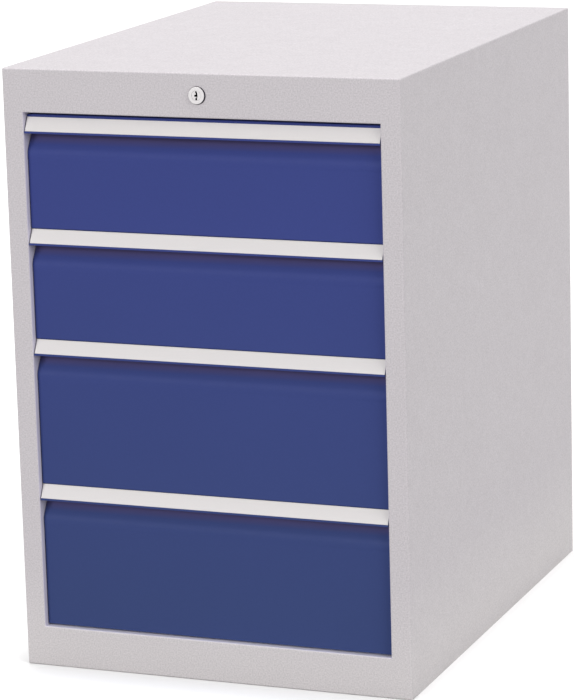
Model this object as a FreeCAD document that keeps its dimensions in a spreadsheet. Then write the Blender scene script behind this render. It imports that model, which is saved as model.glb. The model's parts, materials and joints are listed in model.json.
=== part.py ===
import FreeCAD, Part
import math
import os
from types import SimpleNamespace

import Sketcher

# A steel drawer cabinet of under-bench height: a grey welded case, four blue
# drawers on full-extension slides, label strips on the folded grips and one
# central lock. All lengths are in millimetres. The origin is on the floor at
# the middle of the base, +Z is up and the front faces -Y. The drawers' sizes
# set the width, depth and height of the case around them.

LENGTHS = {
    # Drawers: the height of each front, from the top drawer down
    "front_height_1": 149.0,
    "front_height_2": 149.0,
    "front_height_3": 199.0,
    "front_height_4": 196.5,
    "drawer_inner_width": 459.0,
    "drawer_inner_length": 612.0,
    # Gaps round the fronts
    "front_gap": 1.0,
    "front_side_gap": 1.0,
    "sill_gap": 2.0,
    "header_gap": 6.5,
    # Case
    "panel_sheet": 1.2,
    "fold_inner_radius": 0.8,
    "stile_width": 28.0,
    "top_rail_height": 58.5,
    "bottom_rail_height": 55.5,
    "frame_return": 20.0,
    "top_skirt": 15.0,
    "back_flange": 25.0,
    "back_overlap": 15.0,
    "floor_upstand": 15.0,
    # Slotted posts that carry the slides
    "post_width": 40.0,
    "post_sheet": 1.5,
    "slot_width": 5.0,
    "slot_height": 20.0,
    "slot_pitch": 25.0,
    "hook_play": 0.3,
    "hook_width": 4.0,
    "hook_lug_height": 8.0,
    "hook_drop": 6.0,
    # Telescopic slides
    "slide_thickness": 19.0,
    "rail_front_inset": 2.0,
    "rail_past_tray": 28.0,
    "rail_hook_inset": 15.0,
    "rail_sheet": 2.0,
    "rail_height": 53.0,
    "rail_lift": 30.0,
    "fixed_rail_flange": 11.0,
    "rail_web_gap": 1.0,
    "middle_lip_gap": 3.0,
    "drawer_lip_gap": 2.0,
    "race_gap": 0.3,
    # Folded drawer fronts and their label strips
    "front_setback": 8.5,
    "front_depth": 28.0,
    "front_sheet": 1.0,
    "front_edge_radius": 0.9,
    "grip_top_setback": 11.5,
    "grip_foot_setback": 2.0,
    "grip_seat_height": 19.0,
    "grip_nose_height": 3.0,
    "grip_back_gap": 3.6,
    "grip_height": 45.5,
    "top_return": 36.0,
    "bottom_return": 20.0,
    "label_thickness": 1.5,
    "label_top_margin": 1.0,
    "label_foot_play": 0.1,
    "label_end_margin": 0.5,
    # Drawer trays
    "tray_sheet": 1.0,
    "tray_lift": 8.0,
    "tray_top_drop": 26.0,
    "tray_hem": 8.0,
    "tray_fold_radius": 1.0,
    # Central lock
    "lock_drop": 29.0,
    "lock_rim_diameter": 24.0,
    "lock_rim_height": 2.6,
    "lock_rim_radius": 0.7,
    "lock_body_diameter": 19.0,
    "lock_body_length": 24.0,
    "lock_hole_play": 0.2,
    "lock_core_diameter": 13.0,
    "lock_core_length": 28.0,
    "lock_core_play": 0.05,
    "keyway_width": 1.8,
    "keyway_height": 9.0,
    "keyway_ward_width": 1.4,
    "keyway_ward_height": 2.6,
    "keyway_depth": 14.0,
    "lock_nut_flats": 24.0,
    "lock_nut_thickness": 5.0,
    # Shaft from the lock to the locking bar behind the drawers
    "shaft_diameter": 8.0,
    "shaft_socket_depth": 8.0,
    "shaft_play": 0.1,
    "shaft_end_past_web": 4.0,
    "crank_hub_diameter": 18.0,
    "crank_arm_width": 10.0,
    "crank_thickness": 4.0,
    "crank_gap": 1.0,
    "crank_pin_diameter": 5.0,
    "crank_pin_play": 0.6,
    # Locking bar, its channel and guides, and the drawer catches
    "bar_lift": 20.0,
    "bar_width": 26.0,
    "bar_sheet": 3.0,
    "bar_slot_wall": 1.9,
    "bar_foot_lift": 2.5,
    "bar_top_margin": 4.0,
    "bar_channel_gap": 0.5,
    "bar_catch_gap": 6.0,
    "finger_width": 18.0,
    "finger_inset": 5.0,
    "finger_foot": 9.0,
    "release_gap": 3.0,
    "engage_gap": 2.0,
    "catch_drop_from_top": 20.0,
    "catch_sheet": 2.0,
    "catch_reach": 16.0,
    "catch_width": 24.0,
    "catch_plate_height": 26.0,
    "guide_sheet": 1.5,
    "guide_height": 25.0,
    "guide_foot": 8.0,
    "guide_drop": 12.0,
    "guide_play": 0.4,
    "channel_width": 90.0,
    "channel_depth": 66.1,
    "channel_sheet": 1.5,
    # Length by which a cut runs past the face it starts from
    "overrun": 1.0,
}

NEAR = 0.001
DRAWERS = ("1", "2", "3", "4")
SIDES = ("left", "right")


class Size:
    """A length that carries the formula it comes from beside its value."""

    def __init__(self, formula, value):
        self.formula = formula
        self.value = value

    def _joined(self, sign, other, value):
        return Size(f"({self.formula} {sign} {other.formula})", value)

    def __add__(self, other):
        other = as_size(other)
        return self._joined("+", other, self.value + other.value)

    def __sub__(self, other):
        other = as_size(other)
        return self._joined("-", other, self.value - other.value)

    def __mul__(self, other):
        other = as_size(other)
        return self._joined("*", other, self.value * other.value)

    def __truediv__(self, other):
        other = as_size(other)
        return self._joined("/", other, self.value / other.value)

    def __neg__(self):
        return Size(f"(0 - {self.formula})", -self.value)

    __radd__ = __add__
    __rmul__ = __mul__

    def root(self):
        return Size(f"sqrt({self.formula})", math.sqrt(self.value))


def as_size(number):
    """A plain number, such as a share or zero, in the form of a Size."""
    return number if isinstance(number, Size) else Size(repr(number), number)


document = FreeCAD.newDocument("drawer_cabinet")
sheet = document.addObject("Spreadsheet::Sheet", "Sizes")
for row, (alias, length) in enumerate(LENGTHS.items(), start=1):
    sheet.set(f"A{row}", alias)
    sheet.set(f"B{row}", str(length))
    sheet.setAlias(f"B{row}", alias)
document.recompute()
s = SimpleNamespace(**{alias: Size(f"Sizes.{alias}", length) for alias, length in LENGTHS.items()})

# Heights, from the sill up
FRONT_BOTTOM = {}
FRONT_TOP = {}
level = s.bottom_rail_height + s.sill_gap
for drawer in reversed(DRAWERS):
    FRONT_BOTTOM[drawer] = level
    FRONT_TOP[drawer] = level + getattr(s, f"front_height_{drawer}")
    level = FRONT_TOP[drawer] + s.front_gap
OPENING_TOP = FRONT_TOP["1"] + s.header_gap
HEIGHT = OPENING_TOP + s.top_rail_height
UNDER_TOP = HEIGHT - s.panel_sheet - s.fold_inner_radius
LOCK_HEIGHT = HEIGHT - s.lock_drop
TRAY_BOTTOM = {n: FRONT_BOTTOM[n] + s.tray_lift for n in DRAWERS}
TRAY_TOP = {n: FRONT_TOP[n] - s.tray_top_drop for n in DRAWERS}
RAIL_CENTRE = {n: TRAY_BOTTOM[n] + s.rail_lift for n in DRAWERS}
CATCH_TOP = {n: TRAY_TOP[n] - s.catch_drop_from_top for n in DRAWERS}
HOOK_OVERLAP = s.bar_lift + s.engage_gap - s.release_gap
FINGER_TOP = {n: CATCH_TOP[n] - s.catch_sheet - s.engage_gap - s.bar_lift for n in DRAWERS}
FINGER_BOTTOM = {n: FINGER_TOP[n] - HOOK_OVERLAP - s.bar_sheet for n in DRAWERS}

# Widths, from the middle out
TRAY_HALF = s.drawer_inner_width / 2 + s.tray_sheet
OPENING_HALF = TRAY_HALF + s.slide_thickness
FRONT_HALF = OPENING_HALF - s.front_side_gap
HALF_WIDTH = OPENING_HALF + s.stile_width
PANEL_INSIDE = HALF_WIDTH - s.panel_sheet
FOLD_RADIUS = s.fold_inner_radius + s.panel_sheet
CRANK_RADIUS = s.bar_lift / as_size(2).root()
PIN_SLOT_HALF = s.crank_pin_diameter / 2 + s.crank_pin_play
BAR_RIGHT = PIN_SLOT_HALF + s.bar_slot_wall - s.bar_lift / 2
BAR_MIDDLE = BAR_RIGHT - s.bar_width / 2

# Depths, measured back from the front's plane, and then their places along Y
tray_length = s.drawer_inner_length + s.tray_sheet * 2
bar_depth = s.front_depth + tray_length + s.catch_reach + s.bar_catch_gap
channel_front_depth = bar_depth + s.bar_sheet + s.bar_channel_gap
DEPTH = channel_front_depth + s.channel_depth + s.panel_sheet * 2
FRONT = -(DEPTH / 2)
BACK = DEPTH / 2
BACK_PANEL_INSIDE = BACK - s.panel_sheet * 2
CASE_FRONT = FRONT + s.frame_return
TRAY_FRONT = FRONT + s.front_depth
TRAY_BACK = TRAY_FRONT + tray_length
RAIL_FRONT = TRAY_FRONT + s.rail_front_inset
RAIL_BACK = TRAY_BACK + s.rail_past_tray
FRONT_POST = CASE_FRONT + s.post_width / 2
REAR_POST = RAIL_BACK - s.rail_hook_inset
BAR_FRONT = FRONT + bar_depth
BAR_BACK = BAR_FRONT + s.bar_sheet
CHANNEL_FRONT = FRONT + channel_front_depth
CHANNEL_BACK = CHANNEL_FRONT + s.channel_sheet

nodes = []


# Drawing helpers


def bind(item, path, size):
    """Ties one property of an object to the sheet."""
    item.setExpression(path, as_size(size).formula)


def new_body(name):
    body = document.addObject("PartDesign::Body", name)
    body.Label = name
    nodes.append(body)
    return body


def sketch_on(body, plane, level):
    """An empty sketch on one of the body's own planes, moved along its normal."""
    sketch = body.newObject("Sketcher::SketchObject", f"{body.Name}_sketch")
    support = next(f for f in body.Origin.OriginFeatures if f.Role == f"{plane}_Plane")
    sketch.AttachmentSupport = (support, [""])
    sketch.MapMode = "FlatFace"
    bind(sketch, "AttachmentOffset.Base.z", level)
    return sketch


def fix_point(sketch, line, end, point):
    """Holds one end of a line, or the centre of a circle, at its place."""
    for axis, place in zip(("DistanceX", "DistanceY"), point):
        place = as_size(place)
        index = sketch.addConstraint(Sketcher.Constraint(axis, -1, 1, line, end, place.value))
        bind(sketch, f"Constraints[{index}]", place)


def vector(point):
    return FreeCAD.Vector(as_size(point[0]).value, as_size(point[1]).value, 0)


def draw_polygon(sketch, points):
    """A closed outline with each corner held at its place."""
    first = sketch.GeometryCount
    count = len(points)
    for index in range(count):
        start, end = vector(points[index]), vector(points[(index + 1) % count])
        sketch.addGeometry(Part.LineSegment(start, end), False)
    for index in range(count):
        following = first + (index + 1) % count
        sketch.addConstraint(Sketcher.Constraint("Coincident", first + index, 2, following, 1))
        fix_point(sketch, first + index, 1, points[index])


def draw_rectangle(sketch, low, high):
    (x0, y0), (x1, y1) = low, high
    draw_polygon(sketch, [(x0, y0), (x1, y0), (x1, y1), (x0, y1)])


def draw_circle(sketch, centre, diameter):
    circle = Part.Circle(vector(centre), FreeCAD.Vector(0, 0, 1), as_size(diameter).value / 2)
    index = sketch.addGeometry(circle, False)
    fix_point(sketch, index, 3, centre)
    ring = sketch.addConstraint(Sketcher.Constraint("Diameter", index, as_size(diameter).value))
    bind(sketch, f"Constraints[{ring}]", diameter)


def meeting_point(start_a, along_a, start_b, along_b):
    """Where two lines of a sketch cross."""
    cross = along_a.x * along_b.y - along_a.y * along_b.x
    between = start_b - start_a
    share = (between.x * along_b.y - between.y * along_b.x) / cross
    return start_a + along_a * share


def draw_folded_sheet(sketch, path, thickness, hand, solid_walls=()):
    """The section of a folded sheet: path is its outer side, and the inner side
    lies to the left of it (hand 1) or to the right (hand -1), parallel to each
    wall. Walls in solid_walls have no inner side, as where a hem is pressed shut."""
    outer = [vector(point) for point in path]
    walls = [index for index in range(len(path) - 1) if index not in solid_walls]
    along = {w: (outer[w + 1] - outer[w]).normalize() for w in walls}
    inward = {w: FreeCAD.Vector(-hand * d.y, hand * d.x, 0) * thickness.value for w, d in along.items()}
    inner = [outer[0] + inward[walls[0]]]
    for here, there in zip(walls, walls[1:]):
        corner = meeting_point(outer[here] + inward[here], along[here],
                               outer[there] + inward[there], along[there])
        inner.append(corner)
    inner.append(outer[-1] + inward[walls[-1]])
    loop = outer + inner[::-1]
    for index, start in enumerate(loop):
        sketch.addGeometry(Part.LineSegment(start, loop[(index + 1) % len(loop)]), False)
    for index in range(len(loop)):
        following = (index + 1) % len(loop)
        sketch.addConstraint(Sketcher.Constraint("Coincident", index, 2, following, 1))
    for index, point in enumerate(path):
        fix_point(sketch, index, 1, point)
    end_cap = len(path) - 1
    for index, wall in enumerate(reversed(walls)):
        line = len(path) + index
        sketch.addConstraint(Sketcher.Constraint("Parallel", line, wall))
        gap = Sketcher.Constraint("Distance", line, 1, wall, thickness.value)
        bind(sketch, f"Constraints[{sketch.addConstraint(gap)}]", thickness)
    sketch.addConstraint(Sketcher.Constraint("Perpendicular", end_cap, end_cap - 1))
    sketch.addConstraint(Sketcher.Constraint("Perpendicular", len(loop) - 1, 0))


def prism(body, plane, low, high, draw, cut=False):
    """Adds or cuts what draw puts in a sketch, between two levels square to the
    plane. The normal of the XZ plane points along -Y."""
    low, high = as_size(low), as_size(high)
    sketch = sketch_on(body, plane, -high if plane == "XZ" else low)
    draw(sketch)
    kind = "Pocket" if cut else "Pad"
    before = body.Shape.Volume if cut else 0
    feature = body.newObject(f"PartDesign::{kind}", f"{body.Name}_{kind.lower()}")
    feature.Profile = sketch
    feature.Reversed = cut
    bind(feature, "Length", high - low)
    sketch.Visibility = False
    document.recompute()
    if cut and body.Shape.Volume > before - NEAR:
        raise RuntimeError(f"a pocket of {body.Label} cuts nothing")
    return feature


def box(body, x, y, z, cut=False):
    """A rectangular block or cut between the given pairs of places."""
    return prism(body, "XY", z[0], z[1],
                 lambda sketch: draw_rectangle(sketch, (x[0], y[0]), (x[1], y[1])), cut)


def lies_at(edge, **places):
    """True if every end of the edge has the given coordinates."""
    return all(
        abs(getattr(vertex.Point, axis) - as_size(place).value) < NEAR
        for axis, place in places.items()
        for vertex in edge.Vertexes
    )


def round_edges(body, radius, choices):
    """Fillets the edges of the body's tip that match any of the given places."""
    document.recompute()
    base = body.Tip
    names = [
        f"Edge{index}"
        for index, edge in enumerate(base.Shape.Edges, start=1)
        if any(lies_at(edge, **places) for places in choices)
    ]
    if not names:
        raise RuntimeError(f"{body.Label} has no edge to round there")
    fillet = body.newObject("PartDesign::Fillet", f"{body.Name}_fillet")
    fillet.Base = (base, names)
    bind(fillet, "Radius", radius)
    document.recompute()
    return fillet


def round_rims(body, radius, ring_radius, y):
    """Fillets the circular edges of one radius at one place along Y."""
    document.recompute()
    base = body.Tip
    names = [
        f"Edge{index}"
        for index, edge in enumerate(base.Shape.Edges, start=1)
        if hasattr(edge.Curve, "Radius")
        and abs(edge.Curve.Radius - ring_radius.value) < NEAR
        and lies_at(edge, y=y)
    ]
    fillet = body.newObject("PartDesign::Fillet", f"{body.Name}_fillet")
    fillet.Base = (base, names)
    bind(fillet, "Radius", radius)
    document.recompute()
    return fillet


def on_side(side, place):
    """A place on the right, or its mirror image on the left."""
    return place if side == "right" else -place


def span_on_side(side, near, far):
    """The low and high X of something between two distances from the middle."""
    return (near, far) if side == "right" else (-far, -near)


# Case


def front_frame():
    """The welded front frame: one face with an opening for the drawers, folded
    back along its outer edges and round the opening, with the lock's hole."""
    body = new_body("front_frame")
    box(body, (-HALF_WIDTH, HALF_WIDTH), (FRONT, CASE_FRONT), (0, HEIGHT))
    corners = [dict(x=x, z=z) for x in (-HALF_WIDTH, HALF_WIDTH) for z in (0, HEIGHT)]
    rims = [dict(y=FRONT, x=x) for x in (-HALF_WIDTH, HALF_WIDTH)]
    rims += [dict(y=FRONT, z=z) for z in (0, HEIGHT)]
    round_edges(body, FOLD_RADIUS, corners + rims)
    inside = FRONT + s.panel_sheet
    box(body, (-PANEL_INSIDE, PANEL_INSIDE), (inside, CASE_FRONT + s.overrun),
        (s.panel_sheet, HEIGHT - s.panel_sheet), cut=True)
    inner_rims = [dict(y=inside, x=x) for x in (-PANEL_INSIDE, PANEL_INSIDE)]
    inner_rims += [dict(y=inside, z=z) for z in (s.panel_sheet, HEIGHT - s.panel_sheet)]
    round_edges(body, s.fold_inner_radius, inner_rims)
    ring = OPENING_HALF + s.panel_sheet
    box(body, (-ring, ring), (inside, CASE_FRONT),
        (s.bottom_rail_height - s.panel_sheet, OPENING_TOP + s.panel_sheet))
    folds = [dict(y=inside, x=x) for x in (-ring, ring)]
    folds += [dict(y=inside, z=s.bottom_rail_height - s.panel_sheet)]
    folds += [dict(y=inside, z=OPENING_TOP + s.panel_sheet)]
    round_edges(body, s.fold_inner_radius, folds)
    box(body, (-OPENING_HALF, OPENING_HALF), (FRONT - s.overrun, CASE_FRONT + s.overrun),
        (s.bottom_rail_height, OPENING_TOP), cut=True)
    edges = [dict(y=FRONT, x=x) for x in (-OPENING_HALF, OPENING_HALF)]
    edges += [dict(y=FRONT, z=z) for z in (s.bottom_rail_height, OPENING_TOP)]
    round_edges(body, FOLD_RADIUS, edges)
    hole = s.lock_body_diameter + s.lock_hole_play * 2
    prism(body, "XZ", FRONT - s.overrun, inside + s.overrun,
          lambda sketch: draw_circle(sketch, (0, LOCK_HEIGHT), hole), cut=True)


def side_panel(side):
    """A side of the case, folded inwards along its back edge."""
    body = new_body(f"{side}_side_panel")
    edge = on_side(side, HALF_WIDTH)
    flange = on_side(side, HALF_WIDTH - s.back_flange)
    path = [(edge, CASE_FRONT), (edge, BACK), (flange, BACK)]
    hand = 1 if side == "right" else -1
    prism(body, "XY", 0, HEIGHT - s.top_skirt,
          lambda sketch: draw_folded_sheet(sketch, path, s.panel_sheet, hand))
    round_edges(body, FOLD_RADIUS, [dict(x=edge, y=BACK)])
    inner = dict(x=on_side(side, PANEL_INSIDE), y=BACK - s.panel_sheet)
    round_edges(body, s.fold_inner_radius, [inner])


def top_panel():
    """The top: a sheet folded down along its sides and back."""
    body = new_body("top_panel")
    bottom = HEIGHT - s.top_skirt
    box(body, (-HALF_WIDTH, HALF_WIDTH), (CASE_FRONT, BACK), (bottom, HEIGHT))
    folds = [dict(x=x, z=HEIGHT) for x in (-HALF_WIDTH, HALF_WIDTH)]
    folds += [dict(y=BACK, z=HEIGHT)]
    folds += [dict(x=x, y=BACK) for x in (-HALF_WIDTH, HALF_WIDTH)]
    round_edges(body, FOLD_RADIUS, folds)
    box(body, (-PANEL_INSIDE, PANEL_INSIDE), (CASE_FRONT - s.overrun, BACK - s.panel_sheet),
        (bottom - s.overrun, HEIGHT - s.panel_sheet), cut=True)
    inner = [dict(x=x, z=HEIGHT - s.panel_sheet) for x in (-PANEL_INSIDE, PANEL_INSIDE)]
    inner += [dict(y=BACK - s.panel_sheet, z=HEIGHT - s.panel_sheet)]
    inner += [dict(x=x, y=BACK - s.panel_sheet) for x in (-PANEL_INSIDE, PANEL_INSIDE)]
    round_edges(body, s.fold_inner_radius, inner)


def back_panel():
    """The flat back, spot-welded to the inner faces of the back flanges."""
    body = new_body("back_panel")
    half = HALF_WIDTH - s.back_flange + s.back_overlap
    box(body, (-half, half), (BACK_PANEL_INSIDE, BACK - s.panel_sheet), (0, UNDER_TOP))


def floor_panel():
    """The floor, folded up along the back."""
    body = new_body("floor_panel")
    path = [(CASE_FRONT, 0), (BACK_PANEL_INSIDE, 0), (BACK_PANEL_INSIDE, s.floor_upstand)]
    prism(body, "YZ", -PANEL_INSIDE, PANEL_INSIDE,
          lambda sketch: draw_folded_sheet(sketch, path, s.panel_sheet, 1))


def post(name, side, centre):
    """A channel behind the stile, with a pair of slots for each slide."""
    body = new_body(name)
    low, high = centre - s.post_width / 2, centre + s.post_width / 2
    face, wall = on_side(side, OPENING_HALF), on_side(side, PANEL_INSIDE)
    path = [(wall, low), (face, low), (face, high), (wall, high)]
    hand = -1 if side == "right" else 1
    prism(body, "XY", s.panel_sheet, UNDER_TOP,
          lambda sketch: draw_folded_sheet(sketch, path, s.post_sheet, hand))

    def slots(sketch):
        for number in DRAWERS:
            for step in (-1, 1):
                height = RAIL_CENTRE[number] + s.slot_pitch * step / 2
                draw_rectangle(
                    sketch,
                    (centre - s.slot_width / 2, height - s.slot_height / 2),
                    (centre + s.slot_width / 2, height + s.slot_height / 2),
                )

    web = span_on_side(side, OPENING_HALF - s.overrun, OPENING_HALF + s.post_sheet + s.overrun)
    prism(body, "YZ", web[0], web[1], slots, cut=True)


def lock_channel():
    """The upright channel at the back that carries the locking bar and the shaft's end."""
    body = new_body("lock_channel")
    half = s.channel_width / 2
    path = [(-half, BACK_PANEL_INSIDE), (-half, CHANNEL_FRONT),
            (half, CHANNEL_FRONT), (half, BACK_PANEL_INSIDE)]
    prism(body, "XY", s.floor_upstand, UNDER_TOP,
          lambda sketch: draw_folded_sheet(sketch, path, s.channel_sheet, 1))
    hole = s.shaft_diameter + s.shaft_play * 2
    prism(body, "XZ", CHANNEL_FRONT - s.overrun, CHANNEL_BACK + s.overrun,
          lambda sketch: draw_circle(sketch, (0, LOCK_HEIGHT), hole), cut=True)


def locking_bar_guides():
    """Two folded clips that hold the locking bar against its channel."""
    body = new_body("locking_bar_guides")
    body.AllowCompound = True
    near = s.bar_width / 2 + s.guide_play + s.guide_sheet
    far = near + s.guide_foot
    front = BAR_FRONT - s.guide_play - s.guide_sheet
    foot = CHANNEL_FRONT - s.guide_sheet
    path = [(-far, foot), (-near, foot), (-near, front), (near, front), (near, foot), (far, foot)]
    path = [(x + BAR_MIDDLE, y) for x, y in path]
    for number in (DRAWERS[0], DRAWERS[-1]):
        top = FINGER_BOTTOM[number] - s.guide_drop
        prism(body, "XY", top - s.guide_height, top,
              lambda sketch: draw_folded_sheet(sketch, path, s.guide_sheet, 1))


# Slides: three nested channels, of which the outer one hooks into the posts


def rail_section(number, side, web, mouth, half_height):
    """The outline of a channel with its web and its mouth at two distances from the post."""
    sheet_along = s.rail_sheet if mouth.value > web.value else -s.rail_sheet
    inside = half_height - s.rail_sheet
    outline = [
        (web, -half_height), (mouth, -half_height), (mouth, -inside), (web + sheet_along, -inside),
        (web + sheet_along, inside), (mouth, inside), (mouth, half_height), (web, half_height),
    ]
    return [(on_side(side, OPENING_HALF - u), z + RAIL_CENTRE[number]) for u, z in outline]


def slide_rail(name, number, side, web, mouth, half_height):
    body = new_body(name)
    section = rail_section(number, side, web, mouth, half_height)
    prism(body, "XZ", RAIL_FRONT, RAIL_BACK, lambda sketch: draw_polygon(sketch, section))
    return body


def fixed_rail(number, side):
    """The outer channel, with two hooks at each end that hang in the posts' slots."""
    body = slide_rail(f"drawer_{number}_{side}_fixed_rail", number, side,
                      as_size(0), s.fixed_rail_flange, s.rail_height / 2)
    behind = s.post_sheet + s.hook_play
    reach = behind + s.rail_sheet
    for centre in (FRONT_POST, REAR_POST):
        for step in (-1, 1):
            slot_bottom = RAIL_CENTRE[number] + s.slot_pitch * step / 2 - s.slot_height / 2
            lug = slot_bottom + s.hook_play
            outline = [
                (as_size(0), lug), (behind, lug), (behind, lug - s.hook_drop),
                (reach, lug - s.hook_drop), (reach, lug + s.hook_lug_height),
                (as_size(0), lug + s.hook_lug_height),
            ]
            outline = [(on_side(side, OPENING_HALF + w), z) for w, z in outline]
            prism(body, "XZ", centre - s.hook_width / 2, centre + s.hook_width / 2,
                  lambda sketch: draw_polygon(sketch, outline))


def middle_rail(number, side):
    web = s.rail_sheet + s.rail_web_gap
    slide_rail(f"drawer_{number}_{side}_middle_rail", number, side, web,
               s.slide_thickness - s.rail_sheet - s.middle_lip_gap,
               s.rail_height / 2 - s.rail_sheet - s.race_gap)


def drawer_rail(number, side):
    slide_rail(f"drawer_{number}_{side}_drawer_rail", number, side, s.slide_thickness,
               s.rail_sheet * 2 + s.rail_web_gap + s.drawer_lip_gap,
               s.rail_height / 2 - (s.rail_sheet + s.race_gap) * 2)


# Drawers


def grip_seat():
    """Length of the label seat and its unit steps along it and out of it."""
    run = s.grip_top_setback - s.grip_foot_setback
    length = (run * run + s.grip_seat_height * s.grip_seat_height).root()
    down = (-(run / length), -(s.grip_seat_height / length))
    out = (-(s.grip_seat_height / length), run / length)
    return length, down, out


def step_from(point, direction, distance):
    return point[0] + direction[0] * distance, point[1] + direction[1] * distance


def drawer_front(number):
    """The front, folded from one sheet: back return, top, sloping label seat,
    nose, shelf and slope of the finger recess, face, bottom and back return."""
    body = new_body(f"drawer_{number}_front")
    top, bottom = FRONT_TOP[number], FRONT_BOTTOM[number]
    _, _, out = grip_seat()
    foot = (FRONT + s.grip_foot_setback, top - s.grip_seat_height)
    nose_top = step_from(foot, out, s.label_thickness)
    nose_bottom = nose_top[1] - s.grip_nose_height
    face = FRONT + s.front_setback
    path = [
        (TRAY_FRONT, top - s.top_return),
        (TRAY_FRONT, top),
        (FRONT + s.grip_top_setback, top),
        foot,
        nose_top,
        (nose_top[0], nose_bottom),
        (TRAY_FRONT - s.grip_back_gap, nose_bottom),
        (face, top - s.grip_height),
        (face, bottom),
        (TRAY_FRONT, bottom),
        (TRAY_FRONT, bottom + s.bottom_return),
    ]
    prism(body, "YZ", -FRONT_HALF, FRONT_HALF,
          lambda sketch: draw_folded_sheet(sketch, path, s.front_sheet, 1, solid_walls=(3, 4)))
    for side in SIDES:
        edge = span_on_side(side, FRONT_HALF - s.front_sheet, FRONT_HALF)
        box(body, edge, (face, TRAY_FRONT), (bottom, top - s.grip_height))
    bends = [dict(y=y, z=z) for y, z in (path[2], path[5], path[7], path[8])]
    bends += [dict(x=x, y=face) for x in (-FRONT_HALF, FRONT_HALF)]
    round_edges(body, s.front_edge_radius, bends)


def label_strip(number):
    """The light strip that lies on the sloping seat and stands on the nose."""
    body = new_body(f"drawer_{number}_label_strip")
    length, down, out = grip_seat()
    seat_top = (FRONT + s.grip_top_setback, FRONT_TOP[number])
    high = step_from(seat_top, down, s.label_top_margin)
    low = step_from(seat_top, down, length - s.label_foot_play)
    outline = [high, low, step_from(low, out, s.label_thickness), step_from(high, out, s.label_thickness)]
    half = FRONT_HALF - s.label_end_margin
    prism(body, "YZ", -half, half, lambda sketch: draw_polygon(sketch, outline))


def tray(number):
    """The open drawer box, with hems folded out along the tops of its sides."""
    body = new_body(f"drawer_{number}_tray")
    bottom, top = TRAY_BOTTOM[number], TRAY_TOP[number]
    box(body, (-TRAY_HALF, TRAY_HALF), (TRAY_FRONT, TRAY_BACK), (bottom, top))
    round_edges(body, s.tray_fold_radius, [dict(x=x, z=bottom) for x in (-TRAY_HALF, TRAY_HALF)])
    inner = TRAY_HALF - s.tray_sheet
    box(body, (-inner, inner), (TRAY_FRONT + s.tray_sheet, TRAY_BACK - s.tray_sheet),
        (bottom + s.tray_sheet, top + s.overrun), cut=True)
    for side in SIDES:
        hem = span_on_side(side, TRAY_HALF, TRAY_HALF + s.tray_sheet)
        box(body, hem, (TRAY_FRONT, TRAY_BACK), (top - s.tray_hem, top))


def catch(number):
    """The hook on the back of a drawer that the locking bar holds."""
    body = new_body(f"drawer_{number}_catch")
    top = CATCH_TOP[number]
    back = TRAY_BACK + s.catch_reach
    under = top - s.catch_sheet
    outline = [
        (TRAY_BACK, top - s.catch_plate_height), (TRAY_BACK + s.catch_sheet, top - s.catch_plate_height),
        (TRAY_BACK + s.catch_sheet, under), (back - s.catch_sheet, under),
        (back - s.catch_sheet, under - HOOK_OVERLAP), (back, under - HOOK_OVERLAP),
        (back, top), (TRAY_BACK, top),
    ]
    prism(body, "YZ", BAR_MIDDLE - s.catch_width / 2, BAR_MIDDLE + s.catch_width / 2,
          lambda sketch: draw_polygon(sketch, outline))


# Lock


def lock_housing():
    body = new_body("lock_housing")
    front = FRONT - s.lock_rim_height
    axis = (0, LOCK_HEIGHT)
    prism(body, "XZ", front, FRONT, lambda sketch: draw_circle(sketch, axis, s.lock_rim_diameter))
    round_rims(body, s.lock_rim_radius, s.lock_rim_diameter / 2, front)
    prism(body, "XZ", FRONT, FRONT + s.lock_body_length,
          lambda sketch: draw_circle(sketch, axis, s.lock_body_diameter))
    bore = s.lock_core_diameter + s.lock_core_play * 2
    prism(body, "XZ", front - s.overrun, FRONT + s.lock_body_length + s.overrun,
          lambda sketch: draw_circle(sketch, axis, bore), cut=True)


def lock_nut():
    """The six-sided nut that holds the housing in the frame."""
    body = new_body("lock_nut")
    front = FRONT + s.panel_sheet
    half_flats = s.lock_nut_flats / 2
    half_side = half_flats / as_size(3).root()
    outline = [
        (-half_flats, LOCK_HEIGHT - half_side), (0, LOCK_HEIGHT - half_side * 2),
        (half_flats, LOCK_HEIGHT - half_side), (half_flats, LOCK_HEIGHT + half_side),
        (0, LOCK_HEIGHT + half_side * 2), (-half_flats, LOCK_HEIGHT + half_side),
    ]
    prism(body, "XZ", front, front + s.lock_nut_thickness,
          lambda sketch: draw_polygon(sketch, outline))
    prism(body, "XZ", front - s.overrun, front + s.lock_nut_thickness + s.overrun,
          lambda sketch: draw_circle(sketch, (0, LOCK_HEIGHT), s.lock_body_diameter), cut=True)


def lock_core():
    """The turning core, with the keyway in front and the shaft's socket behind."""
    body = new_body("lock_core")
    front = FRONT - s.lock_rim_height
    back = FRONT + s.lock_core_length
    axis = (0, LOCK_HEIGHT)
    prism(body, "XZ", front, back, lambda sketch: draw_circle(sketch, axis, s.lock_core_diameter))
    half, ward = s.keyway_width / 2, s.keyway_ward_height / 2
    tall = s.keyway_height / 2
    keyway = [
        (-half, -tall), (half, -tall), (half, tall), (-half, tall),
        (-half, ward), (-half - s.keyway_ward_width, ward),
        (-half - s.keyway_ward_width, -ward), (-half, -ward),
    ]
    keyway = [(x, z + LOCK_HEIGHT) for x, z in keyway]
    prism(body, "XZ", front - s.overrun, front + s.keyway_depth,
          lambda sketch: draw_polygon(sketch, keyway), cut=True)
    prism(body, "XZ", back - s.shaft_socket_depth, back + s.overrun,
          lambda sketch: draw_circle(sketch, axis, s.shaft_diameter), cut=True)


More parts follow.
